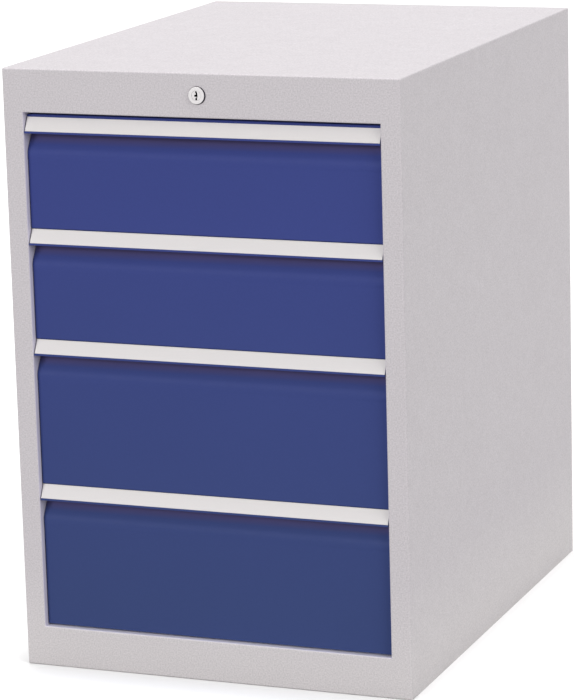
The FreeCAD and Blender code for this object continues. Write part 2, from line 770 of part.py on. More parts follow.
def lock_shaft():
    """The rod that carries the core's turn to the back of the case."""
    body = new_body("lock_shaft")
    prism(body, "XZ", FRONT + s.lock_core_length - s.shaft_socket_depth,
          CHANNEL_FRONT + s.shaft_end_past_web,
          lambda sketch: draw_circle(sketch, (0, LOCK_HEIGHT), s.shaft_diameter))


def lock_crank():
    """The crank on the shaft, whose pin stands in the locking bar's slot."""
    body = new_body("lock_crank")
    back = BAR_FRONT - s.crank_gap
    front = back - s.crank_thickness
    pin_x, pin_z = -(s.bar_lift / 2), LOCK_HEIGHT - s.bar_lift / 2
    prism(body, "XZ", front, back,
          lambda sketch: draw_circle(sketch, (0, LOCK_HEIGHT), s.crank_hub_diameter))
    slant = s.crank_arm_width / (as_size(2).root() * 2)
    arm = [
        (-slant, LOCK_HEIGHT + slant), (pin_x - slant, pin_z + slant),
        (pin_x + slant, pin_z - slant), (slant, LOCK_HEIGHT - slant),
    ]
    prism(body, "XZ", front, back, lambda sketch: draw_polygon(sketch, arm))
    prism(body, "XZ", front, back,
          lambda sketch: draw_circle(sketch, (pin_x, pin_z), s.crank_arm_width))
    prism(body, "XZ", front, BAR_BACK,
          lambda sketch: draw_circle(sketch, (pin_x, pin_z), s.crank_pin_diameter))
    prism(body, "XZ", front - s.overrun, back + s.overrun,
          lambda sketch: draw_circle(sketch, (0, LOCK_HEIGHT), s.shaft_diameter), cut=True)


def locking_bar():
    """The flat bar behind the drawers, with a level slot for the crank's pin."""
    body = new_body("locking_bar")
    box(body, (BAR_RIGHT - s.bar_width, BAR_RIGHT), (BAR_FRONT, BAR_BACK),
        (FRONT_BOTTOM[DRAWERS[-1]] + s.bar_foot_lift, LOCK_HEIGHT + s.bar_top_margin))
    pin_height = LOCK_HEIGHT - s.bar_lift / 2
    box(body, (-CRANK_RADIUS - PIN_SLOT_HALF, PIN_SLOT_HALF - s.bar_lift / 2),
        (BAR_FRONT - s.overrun, BAR_BACK + s.overrun),
        (pin_height - PIN_SLOT_HALF, pin_height + PIN_SLOT_HALF), cut=True)


def locking_fingers():
    """The hooked lugs welded to the locking bar, one for each catch."""
    body = new_body("locking_fingers")
    body.AllowCompound = True
    tip = TRAY_BACK + s.finger_inset
    foot = BAR_FRONT - s.bar_sheet
    for number in DRAWERS:
        top, bottom = FINGER_TOP[number], FINGER_BOTTOM[number]
        plate_top = bottom + s.bar_sheet
        outline = [
            (tip, top), (tip, bottom), (foot, bottom), (foot, bottom - s.finger_foot),
            (BAR_FRONT, bottom - s.finger_foot), (BAR_FRONT, plate_top),
            (tip + s.bar_sheet, plate_top), (tip + s.bar_sheet, top),
        ]
        prism(body, "YZ", BAR_MIDDLE - s.finger_width / 2, BAR_MIDDLE + s.finger_width / 2,
              lambda sketch: draw_polygon(sketch, outline))


# Assembly

front_frame()
for side_name in SIDES:
    side_panel(side_name)
top_panel()
back_panel()
floor_panel()
for side_name in SIDES:
    post(f"front_{side_name}_post", side_name, FRONT_POST)
    post(f"rear_{side_name}_post", side_name, REAR_POST)
lock_channel()
locking_bar_guides()
lock_housing()
lock_nut()
lock_core()
lock_shaft()
lock_crank()
locking_bar()
locking_fingers()
for drawer in DRAWERS:
    drawer_front(drawer)
    label_strip(drawer)
    tray(drawer)
    catch(drawer)
    for side_name in SIDES:
        fixed_rail(drawer, side_name)
        middle_rail(drawer, side_name)
        drawer_rail(drawer, side_name)

document.recompute()
for item in document.Objects:
    if {"Invalid", "Error"} & set(item.State):
        raise RuntimeError(f"{item.Label} is {item.State}")
for node in nodes:
    if node.Shape.isNull() or not node.Shape.isValid():
        raise RuntimeError(f"{node.Label} has no valid shape")

os.makedirs("parts", exist_ok=True)
for node in nodes:
    node.Shape.exportStep(f"parts/{node.Label}.step")
    print(f"{node.Label}: {len(node.Shape.Solids)} solids, {node.Shape.Volume:.0f} mm3")
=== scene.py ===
import json
import math

import bmesh
import bpy
from bpy.props import FloatProperty, FloatVectorProperty, PointerProperty
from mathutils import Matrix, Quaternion, Vector


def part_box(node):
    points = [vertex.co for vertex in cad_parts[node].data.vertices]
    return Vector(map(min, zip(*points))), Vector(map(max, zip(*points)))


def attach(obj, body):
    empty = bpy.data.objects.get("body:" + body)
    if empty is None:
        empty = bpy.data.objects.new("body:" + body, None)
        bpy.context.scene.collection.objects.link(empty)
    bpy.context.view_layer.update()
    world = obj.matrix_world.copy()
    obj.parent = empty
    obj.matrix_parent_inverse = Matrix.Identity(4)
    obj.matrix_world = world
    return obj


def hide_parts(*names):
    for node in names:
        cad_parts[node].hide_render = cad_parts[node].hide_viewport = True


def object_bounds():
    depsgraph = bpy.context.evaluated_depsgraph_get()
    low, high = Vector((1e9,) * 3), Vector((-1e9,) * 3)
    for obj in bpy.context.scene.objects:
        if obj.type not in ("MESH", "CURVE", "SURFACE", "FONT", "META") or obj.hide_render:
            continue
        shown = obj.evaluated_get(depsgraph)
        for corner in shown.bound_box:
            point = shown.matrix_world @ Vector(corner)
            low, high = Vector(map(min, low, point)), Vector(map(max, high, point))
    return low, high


# The looks of a steel drawer cabinet: a grey case, four blue drawers on
# telescopic slides, label strips on the folded grips and one central lock.
# Lengths are in metres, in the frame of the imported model: the floor is at
# Z 0, the front faces -Y and the drawers open that way.

bl_info = {
    "name": "Steel Drawer Cabinet",
    "version": (1, 0, 0),
    "blender": (4, 5, 0),
    "location": "View3D > Sidebar > Cabinet",
    "description": "Finishes and fine pieces of a steel drawer cabinet on telescopic slides",
    "category": "Object",
}

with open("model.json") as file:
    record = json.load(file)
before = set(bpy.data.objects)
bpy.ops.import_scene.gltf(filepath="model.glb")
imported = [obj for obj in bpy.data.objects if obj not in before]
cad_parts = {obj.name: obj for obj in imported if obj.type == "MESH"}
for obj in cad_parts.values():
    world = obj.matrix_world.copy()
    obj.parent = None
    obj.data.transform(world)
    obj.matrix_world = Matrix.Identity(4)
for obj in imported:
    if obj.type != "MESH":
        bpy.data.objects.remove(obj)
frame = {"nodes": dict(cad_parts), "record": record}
CAD_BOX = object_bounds()
MM = 0.001
# How far apart two places may be and still count as one
NEAR = 0.00001

DRAWERS = ("1", "2", "3", "4")
SIDES = ("left", "right")
SLOT_OF = {part["node"]: part["material_slot"] for part in frame["record"]["subparts"]}

FRONT_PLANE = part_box("front_frame")[0].y
TRAY_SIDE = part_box("drawer_1_right_drawer_rail")[0].x
SLIDE_WIDTH = 19.0 * MM
SILL_GAP = 2.0 * MM
HEADER_GAP = 6.5 * MM
# The posts are flush with the sides of the opening for the drawers
POST_FACE = TRAY_SIDE + SLIDE_WIDTH
OPENING_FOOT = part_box("drawer_4_front")[0].z - SILL_GAP
OPENING_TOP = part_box("drawer_1_front")[1].z + HEADER_GAP


class CabinetFinish(bpy.types.PropertyGroup):
    """Colours and textures of the cabinet's finishes."""

    case_colour: FloatVectorProperty(
        name="Case Colour", description="Powder coat of the case and the trays", subtype="COLOR",
        min=0.0, max=1.0, default=(0.545, 0.512, 0.534))
    drawer_colour: FloatVectorProperty(
        name="Drawer Colour", description="Powder coat of the drawer fronts", subtype="COLOR",
        min=0.0, max=1.0, default=(0.0465, 0.0632, 0.2345))
    # Painted light and shade: towards the floor the fronts turn to this darker, greener blue,
    # standing in for the warmer light there
    low_drawer_shaded_colour: FloatVectorProperty(
        name="Low Drawer Colour",
        description="Powder coat of the fronts towards the floor, a little greener",
        subtype="COLOR", min=0.0, max=1.0, default=(0.0425, 0.0642, 0.1825))
    # Painted shade: the tint of the shaded band under each grip's nose, in the corner of its
    # recess
    recess_shade_colour: FloatVectorProperty(
        name="Recess Colour",
        description="Drawer paint under the finger marks in the corner of a recess",
        subtype="COLOR", min=0.0, max=1.0, default=(0.089, 0.076, 0.182))
    label_colour: FloatVectorProperty(
        name="Label Colour", description="Card of the label strips", subtype="COLOR", min=0.0,
        max=1.0, default=(0.715, 0.690, 0.690))
    steel_colour: FloatVectorProperty(
        name="Steel Colour",
        description="Zinc-plated steel of the slides, the catches and the locking bar",
        subtype="COLOR", min=0.0, max=1.0, default=(0.56, 0.57, 0.58))
    chrome_colour: FloatVectorProperty(
        name="Chrome Colour", description="Chrome of the lock's rim and core", subtype="COLOR",
        min=0.0, max=1.0, default=(0.423, 0.409, 0.412))
    paint_roughness: FloatProperty(
        name="Paint Roughness",
        description="Roughness of the powder coat, from gloss at 0 to chalk at 1", min=0.0,
        max=1.0, default=0.5)
    front_bend: FloatProperty(
        name="Front Bend",
        description="Radius of the bend between a front's face and its finger recess",
        unit="LENGTH", min=0.001, max=0.03, default=0.016)
    slot_pitch: FloatProperty(
        name="Slot Pitch", description="Distance between the slots for the dividers in a tray",
        unit="LENGTH", min=0.015, max=0.1, default=0.034)
    grain_size: FloatProperty(
        name="Grain Size", description="Size of one grain of the case's powder coat",
        unit="LENGTH", min=0.0002, max=0.01, default=0.0020)


class CabinetStage(bpy.types.PropertyGroup):
    """Camera, lamps and floor."""

    camera_place: FloatVectorProperty(
        name="Camera Place", description="Where the camera stands", subtype="XYZ", unit="LENGTH",
        default=(1.67937, -4.31466, 1.41396))
    camera_azimuth: FloatProperty(
        name="Camera Azimuth",
        description="Turn of the camera round the cabinet, from straight in front",
        subtype="ANGLE", default=math.radians(21.624))
    camera_elevation: FloatProperty(
        name="Camera Elevation", description="Angle at which the camera looks down",
        subtype="ANGLE", default=math.radians(12.651))
    camera_roll: FloatProperty(
        name="Camera Roll", description="Turn of the camera about its own line of sight",
        subtype="ANGLE", default=math.radians(-1.584))
    focal_length: FloatProperty(
        name="Focal Length",
        description="Focal length of the lens in millimetres, for a sensor 36 mm long", min=1.0,
        max=1000.0, default=172.82)
    key_strength: FloatProperty(
        name="Key Strength",
        description="Strength of the lamp in front on the left, in watts per square metre",
        min=0.0, default=1.32)
    side_strength: FloatProperty(
        name="Side Strength",
        description="Strength of the lamp on the right, in watts per square metre", min=0.0,
        default=1.466)
    top_strength: FloatProperty(
        name="Top Strength",
        description="Strength of the lamp overhead, in watts per square metre", min=0.0,
        default=2.05)
    sky_strength: FloatProperty(
        name="Sky Strength", description="Strength of the even light from all round", min=0.0,
        default=0.45)
    floor_colour: FloatVectorProperty(
        name="Floor Colour", description="Colour of the plain floor as the camera sees it",
        subtype="COLOR", min=0.0, max=1.0, default=(0.96, 0.96, 0.96))
    floor_bounce: FloatVectorProperty(
        name="Floor Bounce",
        description="Colour of the light that the floor throws back on the cabinet",
        subtype="COLOR", min=0.0, max=1.0, default=(0.35, 0.35, 0.35))


# Modelling helpers


def deselect_all():
    """Leaves nothing selected and no piece active."""
    bpy.ops.object.select_all(action="DESELECT")
    bpy.context.view_layer.objects.active = None


def named_piece(name):
    """The new active primitive, named and with its place moved into its mesh."""
    piece = bpy.context.active_object
    piece.name = name
    piece.data.name = name
    bpy.ops.object.transform_apply(location=True, rotation=True, scale=True)
    return piece


def add_block(name, low, high):
    """A block between two corners."""
    low, high = Vector(low), Vector(high)
    deselect_all()
    bpy.ops.mesh.primitive_cube_add(size=1.0, location=(low + high) / 2)
    bpy.context.active_object.scale = high - low
    return named_piece(name)


def add_strip(name, path, low, high, along):
    """A thin strip along X or Y that follows a path of two coordinates across it.

    One plane makes the first leg, and its far edge is drawn out for the others.
    The outside is on the left of the way the path runs, with Z up.
    """
    across = 1 if along == "X" else 0
    start, end = Vector(path[0]), Vector(path[1])
    leg, middle = end - start, (start + end) / 2
    turn = math.atan2(leg.y, leg.x)
    place = [0.0, 0.0, middle.y]
    place[across], place[1 - across] = middle.x, (low + high) / 2
    rotation = (turn, 0.0, 0.0) if along == "X" else (0.0, -turn, 0.0)
    scale = (high - low, leg.length, 1.0) if along == "X" else (leg.length, high - low, 1.0)
    deselect_all()
    bpy.ops.mesh.primitive_plane_add(size=1.0, location=place, rotation=rotation)
    bpy.context.active_object.scale = scale
    piece = named_piece(name)
    start_edit(piece, "EDGE")
    for start, end in zip(path[1:], path[2:]):
        offset = [0.0, 0.0, end[1] - start[1]]
        offset[across] = end[0] - start[0]
        pick(piece, "EDGE", lambda edge: runs_at(edge, start, across))
        extrude_faces(offset)
    end_edit()
    return piece


def runs_at(edge, point, across):
    """True for an edge that runs along the strip through a point of its path."""
    return all(abs(vert.co[across] - point[0]) < NEAR and abs(vert.co[2] - point[1]) < NEAR
               for vert in edge.verts)


def round_folds(piece, path, radii, along, segments=3):
    """Rounds the folds of a strip, each with its own radius, by their place in the path."""
    across = 1 if along == "X" else 0
    start_edit(piece, "EDGE")
    for index, radius in radii.items():
        before, corner, after = (Vector(path[index + step]) for step in (-1, 0, 1))
        turn = (corner - before).angle(after - corner)
        pick(piece, "EDGE", lambda edge: runs_at(edge, corner, across))
        bpy.ops.mesh.bevel(offset=radius * math.tan(turn / 2), segments=segments, affect="EDGES")
    end_edit()


def thicken(piece, thickness):
    """Gives a strip its wall thickness, inwards from its outside, and closes it."""
    apply_modifier(piece, "SOLIDIFY", thickness=thickness, offset=-1.0, use_even_offset=True)
    face_outwards(piece)


def make_active(piece):
    """Selects one piece alone and makes it the active one."""
    deselect_all()
    piece.select_set(True)
    bpy.context.view_layer.objects.active = piece


def apply_modifier(piece, kind, **settings):
    """Shapes a piece with one modifier and its settings."""
    make_active(piece)
    modifier = piece.modifiers.new(kind.lower(), kind)
    for name, value in settings.items():
        setattr(modifier, name, value)
    bpy.ops.object.modifier_apply(modifier=modifier.name)


def face_outwards(piece):
    """Merges doubles and turns every face of a closed piece outwards."""
    start_edit(piece, "VERT")
    bpy.ops.mesh.select_all(action="SELECT")
    bpy.ops.mesh.remove_doubles(threshold=NEAR / 10)
    bpy.ops.mesh.normals_make_consistent(inside=False)
    end_edit()


def repeat(piece, count, step):
    """Sets a row of equal copies of the piece's shape, one step apart."""
    apply_modifier(piece, "ARRAY", count=count, use_relative_offset=False,
                   use_constant_offset=True, constant_offset_displace=step)


def copy_piece(piece, name, shift=(0.0, 0.0, 0.0), mirrored=False):
    """A copy with a mesh of its own, moved and, where asked, mirrored left to right."""
    make_active(piece)
    bpy.ops.object.duplicate(linked=False)
    copy = bpy.context.active_object
    copy.name = copy.data.name = name
    copy.location = shift
    copy.scale = (-1.0 if mirrored else 1.0, 1.0, 1.0)
    bpy.ops.object.transform_apply(location=True, rotation=True, scale=True)
    if mirrored:
        face_outwards(copy)
    return copy


def join_pieces(pieces, name):
    """Makes several shapes one piece."""
    deselect_all()
    for piece in pieces:
        piece.select_set(True)
    bpy.context.view_layer.objects.active = pieces[0]
    bpy.ops.object.join()
    pieces[0].name = pieces[0].data.name = name
    return pieces[0]


def bevel_edges(piece, wanted, radius):
    """Rounds the edges of a piece for which wanted is true."""
    start_edit(piece, "EDGE")
    pick(piece, "EDGE", wanted)
    bpy.ops.mesh.bevel(offset=radius, segments=2, affect="EDGES")
    end_edit()


def copy_of_node(name, node):
    """A merged copy of a CAD node's mesh to shape further."""
    piece = copy_piece(frame["nodes"][node], name)
    face_outwards(piece)
    return piece


def add_round(name, centre, radius, front, back, sides=64):
    """A round bar along Y between two depths, about a line through centre (x, z)."""
    deselect_all()
    bpy.ops.mesh.primitive_cylinder_add(
        vertices=sides, radius=radius, depth=back - front, rotation=(math.pi / 2, 0.0, 0.0),
        location=(centre[0], (front + back) / 2, centre[1]))
    return named_piece(name)


def start_edit(piece, kind):
    """Opens a piece in edit mode with nothing selected, ready to pick faces or edges."""
    make_active(piece)
    bpy.ops.object.mode_set(mode="EDIT")
    bpy.ops.mesh.select_mode(type=kind)
    bpy.ops.mesh.select_all(action="DESELECT")


def end_edit():
    """Leaves edit mode."""
    bpy.ops.object.mode_set(mode="OBJECT")


def pick(piece, kind, wanted):
    """Selects the faces or edges for which wanted is true, and raises if there are none."""
    bpy.ops.mesh.select_mode(type=kind)
    bpy.ops.mesh.select_all(action="DESELECT")
    mesh = bmesh.from_edit_mesh(piece.data)
    mesh.normal_update()
    found = [item for item in (mesh.faces if kind == "FACE" else mesh.edges) if wanted(item)]
    for item in found:
        item.select_set(True)
    mesh.select_flush_mode()
    bmesh.update_edit_mesh(piece.data)
    if not found:
        raise RuntimeError(f"{piece.name}: no {kind.lower()} was found to shape")


def facing(face, direction):
    """True for a face that looks within about 8 degrees of a direction."""
    return face.normal.dot(Vector(direction)) > 0.99


def extrude_faces(offset):
    """Draws the picked faces or edges out by an offset."""
    bpy.ops.mesh.extrude_region_move(TRANSFORM_OT_translate={"value": offset})


def cut_with(piece, cutter):
    """Takes the cutter's volume out of the piece and removes the cutter."""
    apply_modifier(piece, "BOOLEAN", operation="DIFFERENCE", solver="EXACT", object=cutter)
    bpy.data.objects.remove(cutter)


def finish_piece(piece, body, material, nodes=(), angle=35.0):
    """Smooths a finished piece, gives it its finish and sets it on its body."""
    make_active(piece)
    bpy.ops.object.shade_smooth_by_angle(angle=math.radians(angle))
    piece.data.materials.clear()
    piece.data.materials.append(material)
    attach(piece, body)
    if nodes:
        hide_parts(*nodes)


# Finishes


class Finish:
    """The nodes of one procedural material, on the object's own coordinates."""

    # Sockets of a colour mix: its share, its two colours and its result
    SHARE, FIRST, SECOND, RESULT = 0, 6, 7, 2

    def __init__(self, name):
        self.material = bpy.data.materials.new(name)
        self.material.use_nodes = True
        self.tree = self.material.node_tree
        self.tree.nodes.clear()
        self.place = self.add("ShaderNodeTexCoord").outputs["Object"]
        self.shader = self.add("ShaderNodeBsdfPrincipled")
        output = self.add("ShaderNodeOutputMaterial")
        self.join(self.shader.outputs["BSDF"], output.inputs["Surface"])

    def add(self, kind, **settings):
        """A new node with its settings."""
        node = self.tree.nodes.new(kind)
        for name, value in settings.items():
            setattr(node, name, value)
        return node

    def join(self, source, target):
        """Links an output to an input."""
        self.tree.links.new(source, target)

    def set(self, **values):
        """Sets the shader's sockets, named with underscores for spaces."""
        for name, value in values.items():
            self.shader.inputs[name.replace("_", " ")].default_value = value

    def stretched(self, scale):
        """The object's coordinates, stretched along its axes."""
        mapping = self.add("ShaderNodeMapping")
        mapping.inputs["Scale"].default_value = scale
        self.join(self.place, mapping.inputs["Vector"])
        return mapping.outputs["Vector"]

    def noise(self, size, detail=2.0, roughness=0.5, vector=None):
        """Soft random spots of about one size, from 0 to 1."""
        noise = self.add("ShaderNodeTexNoise")
        noise.inputs["Scale"].default_value = 1.0 / size
        noise.inputs["Detail"].default_value = detail
        noise.inputs["Roughness"].default_value = roughness
        self.join(vector or self.place, noise.inputs["Vector"])
        return noise.outputs["Fac"]

    def ramp(self, factor, low, high, near, far):
        """Turns the factor between two limits into a value between two others."""
        ramp = self.add("ShaderNodeMapRange")
        limits = {"From Min": low, "From Max": high, "To Min": near, "To Max": far}
        for name, value in limits.items():
            ramp.inputs[name].default_value = value
        self.join(factor, ramp.inputs["Value"])
        return ramp.outputs["Result"]

    def shades(self, factor, colour, dark, light):
        """The colour made darker and lighter by two shares, as the factor says."""
        ramp = self.add("ShaderNodeValToRGB")
        for element, share in zip(ramp.color_ramp.elements, (dark, light)):
            element.color = (*(min(1.0, channel * share) for channel in colour), 1.0)
        ramp.color_ramp.elements[0].position = 0.3
        ramp.color_ramp.elements[1].position = 0.7
        self.join(factor, ramp.inputs["Fac"])
        return ramp.outputs["Color"]

    def mixed(self, factor, first, second, blend="MIX"):
        """Two colours mixed by a factor, which is a number or an output."""
        mix = self.add("ShaderNodeMix", data_type="RGBA", blend_type=blend)
        if isinstance(factor, float):
            mix.inputs[self.SHARE].default_value = factor
        else:
            self.join(factor, mix.inputs[self.SHARE])
        self.join(first, mix.inputs[self.FIRST])
        self.join(second, mix.inputs[self.SECOND])
        return mix.outputs[self.RESULT]

    def axis(self, name):
        """One of the object's own coordinates."""
        parts = self.add("ShaderNodeSeparateXYZ")
        self.join(self.place, parts.inputs["Vector"])
        return parts.outputs[name]

    def distance(self, centre, flatten=(1.0, 1.0, 1.0)):
        """The distance to a point, with axes left out where flatten is 0."""
        away = self.add("ShaderNodeVectorMath", operation="SUBTRACT")
        away.inputs[1].default_value = centre
        self.join(self.place, away.inputs[0])
        level = self.add("ShaderNodeVectorMath", operation="MULTIPLY")
        level.inputs[1].default_value = flatten
        self.join(away.outputs["Vector"], level.inputs[0])
        length = self.add("ShaderNodeVectorMath", operation="LENGTH")
        self.join(level.outputs["Vector"], length.inputs[0])
        return length.outputs["Value"]

    def bumps(self, height, depth, below=None):
        """Bumps of a real depth, on top of others where they are given."""
        bump = self.add("ShaderNodeBump")
        bump.inputs["Distance"].default_value = depth
        self.join(height, bump.inputs["Height"])
        if below is not None:
            self.join(below, bump.inputs["Normal"])
        return bump.outputs["Normal"]

    def colour(self, fine, wide):
        """Colours the surface with a fine pattern, dimmed here and there by a wide one."""
        self.join(self.mixed(1.0, fine, wide, "MULTIPLY"), self.shader.inputs["Base Color"])

    def gloss(self, factor, smooth, rough):
        """Lets the roughness run between two values, as the factor says."""
        self.join(self.ramp(factor, 0.3, 0.7, smooth, rough), self.shader.inputs["Roughness"])

    def relief(self, height, depth, below=None):
        """Gives the surface bumps of a real depth."""
        self.join(self.bumps(height, depth, below), self.shader.inputs["Normal"])


def tinted(colour, shares):
    """The colour with each channel times a share of its own."""
    return [channel * share for channel, share in zip(colour, shares)]


def paint_recess_shade(finish, coat, drift, corner, recess_shade):
    """The coat, with a painted shade of the given colour in a band that runs along X through the
    corner.
    """
    away = finish.distance(corner, (0.0, 1.0, 1.0))
    near = finish.ramp(away, 7.4 * MM, 19.4 * MM, 1.0, 0.0)
    return finish.mixed(near, coat, finish.shades(drift, recess_shade, 0.94, 1.06))


def paint_opening_reflection(finish, coat, drift, walls, sill):
    """The coat, with a painted reflection of the blue fronts on the walls and sill of the opening.
    """
    start, end = 0.2 * MM, 1.0 * MM
    foot = finish.ramp(finish.axis("Z"), OPENING_FOOT + start, OPENING_FOOT + end, 1.0, 0.0)
    painted_reflection = finish.mixed(foot, finish.shades(drift, walls, 0.97, 1.03),
                        finish.shades(drift, sill, 0.97, 1.03))
    middle = (0.0, 0.0, (OPENING_FOOT + OPENING_TOP) / 2)
    half_width, half_height = POST_FACE, (OPENING_TOP - OPENING_FOOT) / 2
    for half, along in ((half_width, (1.0, 0.0, 0.0)), (half_height, (0.0, 0.0, 1.0))):
        away = finish.distance(middle, along)
        within = finish.ramp(away, half + start, half + end, 1.0, 0.0)
        painted_reflection = finish.mixed(within, coat, painted_reflection)
    return painted_reflection


def powder_coat(name, colour, grain_size, contrast, roughness, specular=0.5, low_down_painted_light=None,
                fade=(0.1, 0.62), corner=None, recess_shade=None, painted_reflection=None):
    """Sprayed and baked paint: a fine grain, a faint orange peel and uneven gloss.

    Where a colour for low down is given, the coat turns to it between the two heights of
    fade, as painted light and shade towards the floor. Where a corner is given, a painted
    shade of the given colour lies along a line through there. Where two colours are given
    for the opening, they are a painted reflection of the fronts on its walls and sill.
    """
    finish = Finish(name)
    grain = finish.noise(grain_size, detail=1.0)
    drift = finish.noise(grain_size * 60)
    dark, light = 1.0 - contrast, 1.0 + contrast
    coat = finish.shades(grain, colour, dark, light)
    # Painted light and shade: the colour changes with height towards the floor
    if low_down_painted_light is not None:
        low_light_share = finish.ramp(finish.axis("Z"), *fade, 1.0, 0.0)
        coat = finish.mixed(low_light_share, coat, finish.shades(grain, low_down_painted_light, dark, light))
    # Painted shade in the band under the grip's nose
    if corner is not None:
        coat = paint_recess_shade(finish, coat, drift, corner, recess_shade)
    # Painted reflection of the blue fronts on the opening's walls and sill
    if painted_reflection is not None:
        coat = paint_opening_reflection(finish, coat, drift, *painted_reflection)
    finish.colour(coat, finish.shades(drift, (1.0, 1.0, 1.0), 0.985, 1.0))
    finish.gloss(finish.noise(grain_size * 9, detail=3.0), roughness - 0.05, roughness + 0.05)
    peel = finish.bumps(finish.noise(grain_size * 2.5), 0.00006)
    finish.relief(grain, 0.00002, peel)
    finish.set(Specular_IOR_Level=specular)
    return finish.material


def plated_steel(name, colour, along=(1.0, 1.0, 1.0)):
    """Bright zinc plating over rolled steel, with streaks along one axis."""
    finish = Finish(name)
    streaks = finish.noise(0.0012, detail=3.0, roughness=0.6, vector=finish.stretched(along))
    clouds = finish.noise(0.018, detail=3.0)
    finish.colour(finish.shades(streaks, colour, 0.9, 1.06),
                  finish.shades(clouds, (1.0, 0.99, 0.96), 0.92, 1.0))
    finish.gloss(streaks, 0.28, 0.42)
    finish.relief(streaks, 0.00003)
    finish.set(Metallic=1.0)
    return finish.material


def chrome_plate(name, colour, painted_shade=None):
    """Polished chrome with fine wiping marks, painted dark as shade where the given mask is 1."""
    finish = Finish(name)
    marks = finish.noise(0.0006, detail=3.0, vector=finish.stretched((1.0, 0.3, 4.0)))
    haze = finish.noise(0.004)
    chrome = finish.shades(haze, colour, 0.96, 1.02)
    # Painted shade: near black where the mask is 1
    if painted_shade:
        dark = finish.shades(haze, (0.05, 0.046, 0.06), 0.9, 1.1)
        chrome = finish.mixed(painted_shade(finish), chrome, dark)
    finish.join(chrome, finish.shader.inputs["Base Color"])
    finish.gloss(marks, 0.3, 0.42)
    finish.relief(marks, 0.000008)
    finish.set(Metallic=1.0)
    return finish.material


def label_card(name, colour):
    """Matte card behind a thin clear skin: faint fibres and a soft sheen."""
    finish = Finish(name)
    fibres = finish.noise(0.0009, detail=3.0, vector=finish.stretched((0.35, 1.0, 1.0)))
    patches = finish.noise(0.03)
    finish.colour(finish.shades(fibres, colour, 0.985, 1.01),
                  finish.shades(patches, (1.0, 0.997, 0.99), 0.985, 1.0))
    finish.gloss(patches, 0.5, 0.6)
    finish.relief(fibres, 0.00002)
    return finish.material


def seen_directly(tree):
    """1 for rays from the camera and for those mirrored or let through, else 0."""
    rays = tree.nodes.new("ShaderNodeLightPath")
    seen = rays.outputs["Is Camera Ray"]
    for kind in ("Is Glossy Ray", "Is Transmission Ray"):
        either = tree.nodes.new("ShaderNodeMath")
        either.operation = "MAXIMUM"
        tree.links.new(seen, either.inputs[0])
        tree.links.new(rays.outputs[kind], either.inputs[1])
        seen = either.outputs["Value"]
    return seen


def direction_to(azimuth, elevation):
    """The direction from the cabinet to something round it, with azimuth 0 in front."""
    level = math.cos(elevation)
    return Vector((math.sin(azimuth) * level, -math.cos(azimuth) * level, math.sin(elevation)))


def finish_nodes(nodes, material):
    """Gives CAD nodes that stay in view their finish."""
    for name in nodes:
        node = frame["nodes"][name]
        node.data.materials.clear()
        node.data.materials.append(material)


# Pieces


class CABINET_OT_case(bpy.types.Operator):
    """Paint the case and cut the rows of slots in its posts"""

    bl_idname = "cabinet.case"
    bl_label = "Case and Posts"

    # Shares of the case's colour, all painted light: lighter near the floor, standing in for light
    # from the floor there; on the opening's walls and on its sill, a painted reflection of the
    # blue fronts
    LOW_DOWN, WALLS, SILL = (1.10, 1.107, 1.074), (1.02, 1.03, 1.17), (1.32, 1.36, 1.48)

    # Rows of free slots in a post: how many, and the height of the lowest one in mm
    SLOT_ROWS = ((4, 155.5), (5, 330.5), (4, 530.5), (3, 680.5))
    SLOT_STEP = 25.0 * MM
    SLOT_HALF = Vector((30.0, 2.5, 10.0)) * MM

    def execute(self, context):
        finish = context.scene.cabinet_finish
        # The case's coat is painted lighter near the floor, standing in for light from the floor
        coat = {"colour": finish.case_colour, "grain_size": finish.grain_size, "contrast": 0.115,
                "roughness": finish.paint_roughness, "fade": (0.03, 0.16),
                "low_down_painted_light": tinted(finish.case_colour, self.LOW_DOWN)}
        paint = powder_coat("grey_powder_coat", **coat)
        finish_nodes([node for node, slot in SLOT_OF.items() if slot == "grey_paint"
                      and not node.endswith(("_frame", "_post", "_tray"))], paint)
        # Painted reflection of the blue fronts, on the walls and the sill of the opening
        painted_reflection = [tinted(finish.case_colour, shares) for shares in (self.WALLS, self.SILL)]
        finish_nodes(["front_frame"], powder_coat("frame_powder_coat", **coat, painted_reflection=painted_reflection))
        for name in (f"{end}_{side}_post" for end in ("front", "rear") for side in SIDES):
            post = self.slot_post(name)
            finish_piece(post, "case", paint, [name])
        return {"FINISHED"}

    def slot_post(self, name):
        """A post with free slots between those that carry the slides."""
        post = copy_of_node("slotted_" + name, name)
        low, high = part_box(name)
        for count, first in self.SLOT_ROWS:
            centre = Vector(((low.x + high.x) / 2, (low.y + high.y) / 2, first * MM))
            cutter = add_block("slots", centre - self.SLOT_HALF, centre + self.SLOT_HALF)
            repeat(cutter, count, (0.0, 0.0, self.SLOT_STEP))
            cut_with(post, cutter)
        return post


